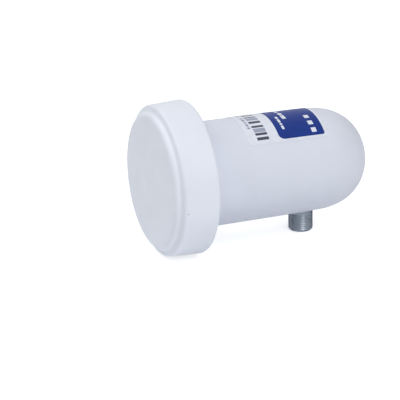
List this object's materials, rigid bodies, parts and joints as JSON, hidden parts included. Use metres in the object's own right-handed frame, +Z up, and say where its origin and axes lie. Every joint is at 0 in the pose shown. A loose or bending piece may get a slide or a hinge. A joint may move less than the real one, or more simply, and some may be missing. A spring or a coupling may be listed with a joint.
{
  "type": "satellite lnb",
  "caption": "Bullet-shaped satellite receiver head with a wide clip-on front cap, a round clamp neck, a domed end and a threaded coaxial connector pointing down.",
  "frame": {"origin": "on the axis, at the middle of the 40 mm clamp seat behind the front cap", "axes": "+X along the axis from the front cap to the domed end, -Z along the connector, +Z up towards the label"},
  "size_m": [0.0876, 0.0582, 0.0582],
  "materials": {
    "cap_plastic": "white polypropylene, satin moulded",
    "housing_plastic": "white moulded, satin",
    "label_film": "white printed film",
    "label_blue": "blue printed field",
    "label_grey": "dark grey printed bars",
    "plated_metal": "nickel plated",
    "insulator_plastic": "natural white",
    "contact_metal": "bright",
    "seal_rubber": "silicone",
    "cast_metal": "as cast",
    "screw_steel": "zinc plated",
    "board_laminate": "solder resist",
    "puck_ceramic": "fired ceramic",
    "absorber_rubber": "loaded sheet",
    "chip_black": "moulded",
    "chip_ceramic": "fired ceramic"
  },
  "bodies": {
    "root": {"front_cap": "cap_plastic", "housing": "housing_plastic", "type_label": "label_film", "connector_body": "plated_metal", "connector_insulator": "insulator_plastic", "centre_contact": "contact_metal", "connector_seal": "seal_rubber", "cap_seal": "seal_rubber", "horn_casting": "cast_metal", "shield_cover": "cast_metal", "cover_screws": "screw_steel", "tuning_screws": "contact_metal", "circuit_board": "board_laminate", "vertical_probe": "contact_metal", "horizontal_probe": "contact_metal", "probe_sleeves": "insulator_plastic", "isolator_rod": "contact_metal", "low_band_resonator": "puck_ceramic", "high_band_resonator": "puck_ceramic", "resonator_spacers": "insulator_plastic", "absorber_pad": "absorber_rubber", "low_noise_transistors": "chip_black", "mixer_chip": "chip_black", "output_amplifier": "chip_black", "bias_controller": "chip_black", "voltage_regulator": "chip_black", "supply_choke": "chip_black", "chip_capacitors": "chip_ceramic", "chip_resistors": "chip_black"}
  },
  "joints": []
}
